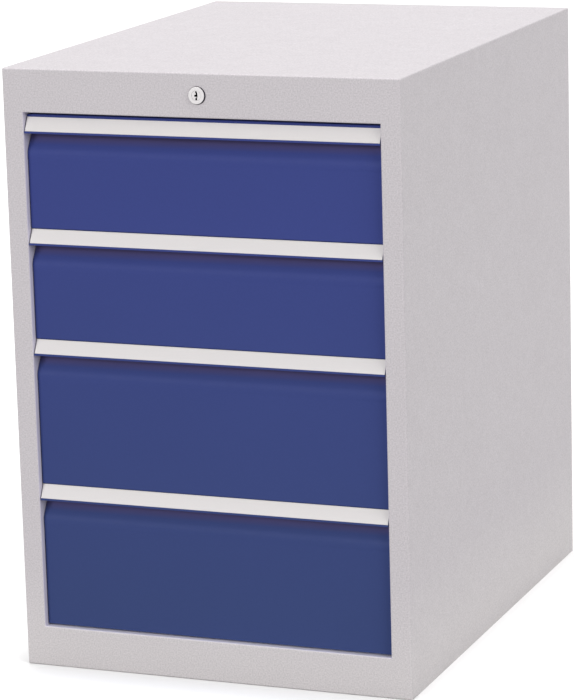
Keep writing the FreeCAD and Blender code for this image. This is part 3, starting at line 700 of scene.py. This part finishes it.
class CABINET_OT_fronts(bpy.types.Operator):
    """Fold the drawer fronts and lay the label strips on their grips"""

    bl_idname = "cabinet.fronts"
    bl_label = "Drawer Fronts and Labels"

    # Section of a front in mm, as depths behind the case's face. With them go heights over
    # the front's foot for its lower end, and drops from its top for its grip.
    FACE, BACK = 8.5, 28.0
    FOOT = ((BACK, 20.0), (BACK, 0.0), (FACE, 0.0))
    RECESS_CORNER = (24.4, 21.33)
    GRIP = ((FACE, 57.5), (FACE, 45.5), RECESS_CORNER, (0.66, 21.33), (0.66, 18.33), (2.0, 19.0))
    SEAT_TOP, RETURN_FOOT = 11.5, 36.0
    # How far the seat of the highest drawer rises above its label, in mm
    RISE = 2.6
    SHEET, FOLD = 1.0 * MM, 0.9 * MM

    # A label strip leans back by the first over the height of the second, in mm
    LEAN = (9.5, 19.0)

    def execute(self, context):
        finish = context.scene.cabinet_finish
        card = label_card("label_card", finish.label_colour)
        depth, drop = self.RECESS_CORNER
        for number in DRAWERS:
            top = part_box(f"drawer_{number}_front")[1].z
            # Painted shade under the grip's nose, along the corner of its recess
            corner = (0.0, FRONT_PLANE + depth * MM, top - drop * MM)
            paint = powder_coat(f"blue_powder_coat_{number}", finish.drawer_colour,
                                finish.grain_size, contrast=0.02, roughness=finish.paint_roughness,
                                specular=0.05, low_down_painted_light=finish.low_drawer_shaded_colour, corner=corner,
                                recess_shade=finish.recess_shade_colour)
            front = self.fold_front(number, finish.front_bend)
            finish_piece(front, f"drawer_{number}", paint,
                         [f"drawer_{number}_front"])
            strip = self.lay_label(number)
            finish_piece(strip, f"drawer_{number}", card,
                         [f"drawer_{number}_label_strip"])
        return {"FINISHED"}

    def fold_front(self, number, bend):
        """One sheet folded into back return, face, finger recess, nose, label seat and top."""
        low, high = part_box(f"drawer_{number}_front")
        top, bottom, half = high.z, low.z, high.x
        rise = self.RISE if number == DRAWERS[0] else 0.0
        head = (*self.GRIP, (self.SEAT_TOP + rise / 2, -rise), (self.BACK, -rise),
                (self.BACK, self.RETURN_FOOT))
        path = [(FRONT_PLANE + depth * MM, bottom + height * MM) for depth, height in self.FOOT]
        path += [(FRONT_PLANE + depth * MM, top - drop * MM) for depth, drop in head]
        front = add_strip(f"folded_front_{number}", path, -half, half, "X")
        face, flange = path[2][0], path[1][0] - path[2][0]
        start_edit(front, "EDGE")
        pick(front, "EDGE", lambda edge: self.is_side_of_face(edge, face, bottom, top))
        extrude_faces((0.0, flange, 0.0))
        pick(front, "EDGE", lambda edge: self.is_side_of_face(edge, face, bottom, top))
        bpy.ops.mesh.bevel(offset=self.FOLD, segments=3, affect="EDGES")
        end_edit()
        folds = {1: self.FOLD, 4: bend, 5: 1.5 * MM, 6: 0.5 * MM, 7: 0.4 * MM,
                 9: self.FOLD, 10: self.FOLD}
        round_folds(front, path, folds, "X", segments=8)
        thicken(front, self.SHEET)
        return front

    def is_side_of_face(self, edge, face, bottom, top):
        """True for an upright edge at the left or right of the front's face."""
        first, second = (vert.co for vert in edge.verts)
        upright = abs(first.x - second.x) < NEAR and abs(first.z - second.z) > 20.0 * MM
        level = abs(first.y - face) < NEAR and abs(second.y - face) < NEAR
        return upright and level and bottom - NEAR < min(first.z, second.z) < top

    def lay_label(self, number):
        """A strip with a thin lip along its top and bottom that holds the card."""
        low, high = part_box(f"drawer_{number}_label_strip")
        lean, height = self.LEAN
        up = Vector((0.0, lean, height)).normalized()
        out = Vector((0.0, -height, lean)).normalized()
        thick, lip, proud, edge_radius = 1.5 * MM, 1.1 * MM, 0.45 * MM, 0.18 * MM
        outer_foot = Vector((0.0, low.y, low.z + thick * out.z))
        length = (high.z - low.z - thick * out.z) / up.z
        inset = out * -proud
        stops = (0.0, lip, length - lip, length)
        path = [(point.y, point.z) for point in (outer_foot + up * stop + inset for stop in stops)]
        strip = add_strip(f"card_strip_{number}", path, low.x, high.x, "X")
        thicken(strip, thick - proud)
        start_edit(strip, "FACE")
        middle = (outer_foot + up * (length / 2)).z
        reach = (length / 2 - lip) * up.z
        pick(strip, "FACE", lambda face: facing(face, out)
             and abs(face.calc_center_median().z - middle) > reach)
        extrude_faces(out * proud)
        end_edit()
        bevel_edges(strip, lambda edge: edge.is_convex and edge.calc_length() > 0.1
                    and edge.calc_face_angle(0.0) > 1.0, edge_radius)
        return strip


class CABINET_OT_trays(bpy.types.Operator):
    """Fold the drawer trays and cut the slots for their dividers"""

    bl_idname = "cabinet.trays"
    bl_label = "Trays"

    SHEET, BEND = 0.8 * MM, 1.0 * MM
    HEM, HEM_GAP = 8.0 * MM, 0.2 * MM
    # Half the width of a divider slot, and what stays whole below, above and at both ends
    SLOT_HALF, BELOW, ABOVE, ENDS = 1.2 * MM, 12.0 * MM, 14.0 * MM, 40.0 * MM

    def execute(self, context):
        finish = context.scene.cabinet_finish
        paint = powder_coat("tray_powder_coat", finish.case_colour, finish.grain_size,
                            contrast=0.05, roughness=finish.paint_roughness)
        for number in DRAWERS:
            node = f"drawer_{number}_tray"
            tray = self.fold_tray(f"slotted_tray_{number}", node, finish.slot_pitch)
            finish_piece(tray, f"drawer_{number}", paint, [node])
        return {"FINISHED"}

    def fold_tray(self, name, node, pitch):
        """An open box with hems along its sides and divider slots in its walls."""
        low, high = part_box(node)
        tray = add_block(name, (-TRAY_SIDE, low.y, low.z), (TRAY_SIDE, high.y, high.z))
        start_edit(tray, "FACE")
        pick(tray, "FACE", lambda face: facing(face, (0, 0, 1)))
        bpy.ops.mesh.delete(type="ONLY_FACE")
        for side in (-1, 1):
            pick(tray, "EDGE", lambda edge: runs_at(edge, (side * TRAY_SIDE, high.z), 0))
            extrude_faces((side * self.HEM_GAP, 0.0, 0.0))
            extrude_faces((0.0, 0.0, -self.HEM))
        pick(tray, "EDGE", lambda edge: all(v.co.z < low.z + NEAR for v in edge.verts))
        bpy.ops.mesh.bevel(offset=self.BEND, segments=3, affect="EDGES")
        end_edit()
        thicken(tray, self.SHEET)
        for along in (1, 0):
            self.cut_slots(tray, low, high, pitch, along)
        return tray

    def cut_slots(self, tray, low, high, pitch, along):
        """A row of upright slots through two opposite walls, along X for 0 and Y for 1."""
        size = (TRAY_SIDE * 2, high.y - low.y)
        count = int((size[along] - self.ENDS) / pitch)
        centre = [0.0, (low.y + high.y) / 2]
        centre[along] -= (count - 1) * pitch / 2
        reach = [*size]
        reach[along] = self.SLOT_HALF
        cutter = add_block("divider_slots",
                           (centre[0] - reach[0], centre[1] - reach[1], low.z + self.BELOW),
                           (centre[0] + reach[0], centre[1] + reach[1], high.z - self.ABOVE))
        step = [0.0, 0.0, 0.0]
        step[along] = pitch
        repeat(cutter, count, step)
        cut_with(tray, cutter)


class CABINET_OT_slides(bpy.types.Operator):
    """Form the telescopic slides with their races, ball cages and hooks"""

    bl_idname = "cabinet.slides"
    bl_label = "Telescopic Slides"

    # Profiles of the rails and cages on the right: distance from the post and height, in mm
    FIXED = ((12.0, -24.2), (10.0, -26.5), (2.5, -26.5), (0.0, -24.0),
             (0.0, 24.0), (2.5, 26.5), (10.0, 26.5), (12.0, 24.2))
    MIDDLE = ((14.0, -18.6), (12.0, -20.9), (5.5, -20.9), (3.0, -18.4),
              (3.0, 18.4), (5.5, 20.9), (12.0, 20.9), (14.0, 18.6))
    DRAWER = ((6.8, 13.2), (8.8, 15.4), (16.5, 15.4), (19.0, 12.9),
              (19.0, -12.9), (16.5, -15.4), (8.8, -15.4), (6.8, -13.2))
    OUTER_CAGE = ((8.5, -23.1), (4.2, -23.1), (2.1, -21.0), (2.1, 21.0), (4.2, 23.1), (8.5, 23.1))
    INNER_CAGE = ((12.5, -17.5), (7.2, -17.5), (5.2, -15.5),
                  (5.2, 15.5), (7.2, 17.5), (12.5, 17.5))

    # Wall and fold radius of the rails and of the cages
    RAIL_WALL, RAIL_FOLD = 1.5 * MM, 1.6 * MM
    CAGE_WALL, CAGE_FOLD = 0.5 * MM, 1.2 * MM
    CAGE_END = 15.0 * MM
    BALL_RADIUS, BALL_PITCH = 1.95 * MM, 24.0 * MM
    WEB_HOLES = 6

    # Hooks of the fixed rail: their heights in mm, and the sizes of neck, lip and drop
    HOOK_HEIGHTS = (-12.5, 12.5)
    NECK, NECK_HEIGHT, NECK_HALF = 1.8 * MM, 8.0 * MM, 2.0 * MM
    LIP, DROP = 2.0 * MM, 6.0 * MM

    def execute(self, context):
        finish = context.scene.cabinet_finish
        rolled = plated_steel("rolled_zinc_steel", finish.steel_colour, (4.0, 0.15, 4.0))
        bright = chrome_plate("cage_and_ball_steel", finish.steel_colour)
        low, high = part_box("drawer_1_right_middle_rail")
        front, back = low.y, high.y
        middle = (front + back) / 2
        patterns = {
            "fixed_rail": self.form_fixed_rail(front, back),
            "middle_rail": self.form_rail("middle_rail", self.MIDDLE, front, back, 9.0),
            "drawer_rail": self.form_rail("drawer_rail", self.DRAWER, front, back, 6.0),
            "outer_cage": self.form_cage("outer_cage", self.OUTER_CAGE, 6.5, 22.95,
                                         middle + self.CAGE_END, back - self.CAGE_END),
            "inner_cage": self.form_cage("inner_cage", self.INNER_CAGE, 10.5, 17.4,
                                         front + self.CAGE_END, middle - self.CAGE_END),
        }
        for number in DRAWERS:
            low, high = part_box(f"drawer_{number}_right_middle_rail")
            centre = (low.z + high.z) / 2
            for side in SIDES:
                for kind, pattern in patterns.items():
                    self.place_copy(pattern, kind, number, side, centre, rolled, bright)
        for pattern in patterns.values():
            bpy.data.objects.remove(pattern)
        return {"FINISHED"}

    def place_copy(self, pattern, kind, number, side, centre, rolled, bright):
        """Sets one rail or cage on its own body beside its drawer."""
        copy = copy_piece(pattern, f"formed_{number}_{side}_{kind}", (0.0, 0.0, centre),
                          mirrored=side == "left")
        bodies = {"fixed_rail": "case", "drawer_rail": f"drawer_{number}"}
        body = bodies.get(kind, f"drawer_{number}_middle_rails")
        if kind.endswith("rail"):
            finish_piece(copy, body, rolled, [f"drawer_{number}_{side}_{kind}"])
        else:
            finish_piece(copy, body, bright)

    def form_rail(self, name, profile, front, back, hole):
        """A rolled channel with curled lips and a row of round holes in its web."""
        path = [(POST_FACE - u * MM, w * MM) for u, w in reversed(profile)]
        rail = add_strip(name, path, front, back, "Y")
        round_folds(rail, path, dict.fromkeys(range(1, len(path) - 1), self.RAIL_FOLD), "Y")
        thicken(rail, self.RAIL_WALL)
        web = (profile[3][0] + profile[4][0]) / 2
        x = POST_FACE - web * MM
        pitch = (back - front) / self.WEB_HOLES
        deselect_all()
        bpy.ops.mesh.primitive_cylinder_add(vertices=20, radius=hole / 2 * MM, depth=8.0 * MM,
                                            location=(x, front + pitch / 2, 0.0),
                                            rotation=(0.0, math.pi / 2, 0.0))
        cutter = named_piece("web_holes")
        repeat(cutter, self.WEB_HOLES, (0.0, pitch, 0.0))
        cut_with(rail, cutter)
        return rail

    def form_fixed_rail(self, front, back):
        """The outer rail, with two hooks at each end that hang in the posts' slots."""
        parts = [self.form_rail("fixed_rail", self.FIXED, front, back, 7.0)]
        for post in ("front_right_post", "rear_right_post"):
            low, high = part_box(post)
            centre = (low.y + high.y) / 2
            parts += [self.form_hook(centre, height) for height in self.HOOK_HEIGHTS]
        return join_pieces(parts, "fixed_rail")

    def form_hook(self, centre, height):
        """A hook whose neck lies 0.3 mm above the foot of its slot."""
        foot = (height - 10.0 + 0.3) * MM
        hook = add_block("hook", (POST_FACE, centre - self.NECK_HALF, foot),
                         (POST_FACE + self.NECK, centre + self.NECK_HALF, foot + self.NECK_HEIGHT))
        start_edit(hook, "FACE")
        pick(hook, "FACE", lambda face: facing(face, (1, 0, 0)))
        extrude_faces((self.LIP, 0.0, 0.0))
        pick(hook, "FACE", lambda face: facing(face, (0, 0, -1))
             and face.calc_center_median().x > POST_FACE + self.NECK)
        extrude_faces((0.0, 0.0, -self.DROP))
        end_edit()
        return hook

    def form_cage(self, name, profile, u, w, front, back):
        """A thin cage between two rails, with a row of balls along its top and its bottom."""
        path = [(POST_FACE - a * MM, b * MM) for a, b in reversed(profile)]
        cage = add_strip(name, path, front, back, "Y")
        folds = dict.fromkeys(range(1, len(path) - 1), self.CAGE_FOLD)
        round_folds(cage, path, folds, "Y", segments=2)
        thicken(cage, self.CAGE_WALL)
        parts = [cage]
        count = int((back - front - self.BALL_PITCH / 2) / self.BALL_PITCH) + 1
        start = (front + back) / 2 - (count - 1) * self.BALL_PITCH / 2
        for height in (-w, w):
            deselect_all()
            place = (POST_FACE - u * MM, start, height * MM)
            bpy.ops.mesh.primitive_ico_sphere_add(subdivisions=2, radius=self.BALL_RADIUS,
                                                  location=place)
            ball = named_piece("ball")
            repeat(ball, count, (0.0, self.BALL_PITCH, 0.0))
            parts.append(ball)
        return join_pieces(parts, name)


class CABINET_OT_lock(bpy.types.Operator):
    """Turn the lock's rim and plug and cut its keyway"""

    bl_idname = "cabinet.lock"
    bl_label = "Lock"

    RIM_RADIUS, BORE_RADIUS, PLUG_RADIUS = 12.0 * MM, 6.55 * MM, 6.5 * MM
    # Share of the rim's width that is left at its face
    TAPER = 0.935
    RIM_BEND, EDGE = 0.5 * MM, 0.15 * MM
    SHOULDER = 2.5 * MM
    # Steps of the keyway in mm from the lock's axis: left, right, bottom and top
    WARDS = ((-1.2, 1.1, 3.1, 5.8), (-0.5, 1.6, 1.0, 3.4), (-2.6, 1.9, -1.4, 1.3),
             (0.3, 1.2, -3.0, -1.2), (-1.2, 1.2, -5.9, -2.9))
    KEYWAY_DEPTH = 12.0 * MM
    # Smoothing angle that keeps the flat faces apart from their rounded edges, in degrees
    SMOOTH = 10.0

    def execute(self, context):
        finish = context.scene.cabinet_finish
        low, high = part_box("lock_housing")
        centre = ((low.x + high.x) / 2, (low.z + high.z) / 2)
        front, back = low.y, high.y
        axis = (centre[0] - 0.45 * MM, front, centre[1] + 0.35 * MM)

        def rim_side(made):
            """1 on the side of the rim, whose shade is painted dark, and 0 on its face."""
            away = made.distance(axis, (1.0, 0.0, 1.0))
            return made.ramp(away, 11.25 * MM, 11.45 * MM, 0.0, 1.0)

        def keyway(made):
            """1 in the depth of the keyway, whose shade is painted dark, and 0 on the plug's face.
            """
            return made.ramp(made.axis("Y"), front + 0.35 * MM, front + 0.9 * MM, 0.0, 1.0)

        rim = self.turn_rim(centre, front, back)
        finish_piece(rim, "case",
                     chrome_plate("rim_chrome", finish.chrome_colour, rim_side),
                     ["lock_housing"], self.SMOOTH)
        plug = self.cut_plug(centre)
        finish_piece(plug, "lock",
                     chrome_plate("plug_chrome", finish.chrome_colour, keyway),
                     ["lock_core"], self.SMOOTH)
        finish_nodes(["lock_nut"], chrome_plate("nut_chrome", finish.chrome_colour))
        return {"FINISHED"}

    def turn_rim(self, centre, front, back):
        """A round rim that tapers towards its face, on a body that passes through the case."""
        rim = add_round("lock_rim", centre, self.RIM_RADIUS, front, FRONT_PLANE)
        start_edit(rim, "FACE")
        pick(rim, "FACE", lambda face: facing(face, (0, -1, 0)))
        bpy.ops.transform.resize(value=(self.TAPER, 1.0, self.TAPER))
        bpy.ops.mesh.bevel(offset=self.RIM_BEND, segments=4, affect="EDGES")
        pick(rim, "FACE", lambda face: facing(face, (0, 1, 0)))
        bpy.ops.mesh.inset(thickness=self.SHOULDER)
        extrude_faces((0.0, back - FRONT_PLANE, 0.0))
        end_edit()
        past = 5.0 * MM
        cut_with(rim, add_round("bore", centre, self.BORE_RADIUS, front - past, back + past))
        bevel_edges(rim, lambda edge: all(abs(v.co.y - front) < NEAR for v in edge.verts)
                    and edge.calc_face_angle(0.0) > 1.0, self.EDGE)
        face_outwards(rim)
        return rim

    def cut_plug(self, centre):
        """The turning plug, with a keyway of stepped wards."""
        low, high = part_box("lock_core")
        face = low.y + 0.15 * MM
        plug = add_round("lock_plug", centre, self.PLUG_RADIUS, face, high.y)
        bevel_edges(plug, lambda edge: all(abs(v.co.y - face) < NEAR for v in edge.verts),
                    self.EDGE)
        for left, right, bottom, top in self.WARDS:
            cutter = add_block("ward",
                               (centre[0] + left * MM, low.y - 1.0 * MM, centre[1] + bottom * MM),
                               (centre[0] + right * MM, low.y + self.KEYWAY_DEPTH,
                                centre[1] + top * MM))
            cut_with(plug, cutter)
        face_outwards(plug)
        return plug


class CABINET_OT_steel(bpy.types.Operator):
    """Plate the catches and the locking gear with zinc"""

    bl_idname = "cabinet.steel"
    bl_label = "Catches and Locking Gear"

    def execute(self, context):
        finish = context.scene.cabinet_finish
        plain = plated_steel("plain_zinc_steel", finish.steel_colour)
        finish_nodes([node for node, slot in SLOT_OF.items()
                      if slot == "zinc_steel" and "rail" not in node], plain)
        return {"FINISHED"}


class CABINET_OT_stage(bpy.types.Operator):
    """Set up the floor, the soft studio light and the camera"""

    bl_idname = "cabinet.stage"
    bl_label = "Stage"

    # Lamps: name, setting of the strength, then azimuth, elevation and width in degrees
    LAMPS = (
        ("key_lamp", "key_strength", -25.0, 14.0, 24.0),
        ("side_lamp", "side_strength", 70.0, 20.0, 50.0),
        ("top_lamp", "top_strength", 180.0, 87.5, 9.0),
    )
    LAMP_DISTANCE = 5.0
    FLOOR_SIZE = 80.0
    WHITE = (1.0, 1.0, 1.0, 1.0)
    # Length of the camera's sensor in mm, and how far it sees in metres
    SENSOR, SIGHT = 36.0, 200.0

    def execute(self, context):
        stage = context.scene.cabinet_stage
        self.lay_floor(stage)
        self.light_sky(context.scene, stage)
        for name, setting, azimuth, elevation, spread in self.LAMPS:
            self.hang_lamp(name, getattr(stage, setting), azimuth, elevation, spread)
        self.place_camera(context.scene, stage)
        context.scene.view_settings.view_transform = "Standard"
        return {"FINISHED"}

    def lay_floor(self, stage):
        """A floor that the camera and mirror surfaces see paler than the cabinet does."""
        deselect_all()
        bpy.ops.mesh.primitive_plane_add(size=self.FLOOR_SIZE, location=(0.0, 0.0, CAD_BOX[0].z))
        floor = named_piece("floor")
        finish = Finish("pale_floor")
        mottle = finish.noise(0.4)
        seen = finish.shades(mottle, stage.floor_colour, 0.995, 1.0)
        thrown = finish.shades(mottle, stage.floor_bounce, 0.995, 1.0)
        finish.join(finish.mixed(seen_directly(finish.tree), thrown, seen),
                    finish.shader.inputs["Base Color"])
        finish.set(Roughness=0.9, Specular_IOR_Level=0.0)
        floor.data.materials.append(finish.material)

    def light_sky(self, scene, stage):
        """An even sky that the camera and mirror surfaces see as plain white."""
        world = bpy.data.worlds.new("studio_sky")
        scene.world = world
        world.use_nodes = True
        tree = world.node_tree
        tree.nodes.clear()
        either = tree.nodes.new("ShaderNodeMixShader")
        tree.links.new(seen_directly(tree), either.inputs["Fac"])
        for place, strength in ((1, stage.sky_strength), (2, 1.0)):
            light = tree.nodes.new("ShaderNodeBackground")
            light.inputs["Color"].default_value = self.WHITE
            light.inputs["Strength"].default_value = strength
            tree.links.new(light.outputs["Background"], either.inputs[place])
        output = tree.nodes.new("ShaderNodeOutputWorld")
        tree.links.new(either.outputs["Shader"], output.inputs["Surface"])

    def hang_lamp(self, name, strength, azimuth, elevation, spread):
        """A soft distant lamp, with its direction and its width in the sky in degrees."""
        deselect_all()
        bpy.ops.object.light_add(type="SUN")
        lamp = bpy.context.active_object
        lamp.name = name
        lamp.data.energy = strength
        lamp.data.angle = math.radians(spread)
        away = direction_to(math.radians(azimuth), math.radians(elevation))
        lamp.location = away * self.LAMP_DISTANCE
        lamp.rotation_mode = "QUATERNION"
        lamp.rotation_quaternion = (-away).to_track_quat("-Z", "Y")

    def place_camera(self, scene, stage):
        """A camera in its place, turned and rolled as the settings say."""
        back = direction_to(stage.camera_azimuth, stage.camera_elevation)
        deselect_all()
        bpy.ops.object.camera_add(location=stage.camera_place)
        camera = bpy.context.active_object
        camera.name = "camera"
        camera.rotation_mode = "QUATERNION"
        roll = Quaternion((0.0, 0.0, 1.0), stage.camera_roll)
        camera.rotation_quaternion = (-back).to_track_quat("-Z", "Y") @ roll
        camera.data.sensor_width = self.SENSOR
        camera.data.lens = stage.focal_length
        camera.data.clip_end = self.SIGHT
        scene.camera = camera


class CABINET_PT_panel(bpy.types.Panel):
    """Sizes, colours and pieces of the drawer cabinet"""

    bl_idname = "CABINET_PT_panel"
    bl_label = "Drawer Cabinet"
    bl_space_type = "VIEW_3D"
    bl_region_type = "UI"
    bl_category = "Cabinet"

    def draw(self, context):
        layout = self.layout
        for group, title in ((context.scene.cabinet_finish, "Finish"),
                             (context.scene.cabinet_stage, "Stage")):
            column = layout.column()
            column.label(text=title)
            for name in group.__annotations__:
                column.prop(group, name)
        for operator in OPERATORS:
            layout.operator(operator.bl_idname)


OPERATORS = (CABINET_OT_case, CABINET_OT_fronts, CABINET_OT_trays, CABINET_OT_slides,
             CABINET_OT_lock, CABINET_OT_steel, CABINET_OT_stage)
CLASSES = (CabinetFinish, CabinetStage, *OPERATORS, CABINET_PT_panel)


def register():
    for kind in CLASSES:
        bpy.utils.register_class(kind)
    bpy.types.Scene.cabinet_finish = PointerProperty(type=CabinetFinish)
    bpy.types.Scene.cabinet_stage = PointerProperty(type=CabinetStage)


def unregister():
    del bpy.types.Scene.cabinet_stage
    del bpy.types.Scene.cabinet_finish
    for kind in reversed(CLASSES):
        bpy.utils.unregister_class(kind)


def main():
    register()
    bpy.ops.cabinet.case()
    bpy.ops.cabinet.fronts()
    bpy.ops.cabinet.trays()
    bpy.ops.cabinet.slides()
    bpy.ops.cabinet.lock()
    bpy.ops.cabinet.steel()
    bpy.ops.cabinet.stage()


if __name__ == "__main__":
    main()
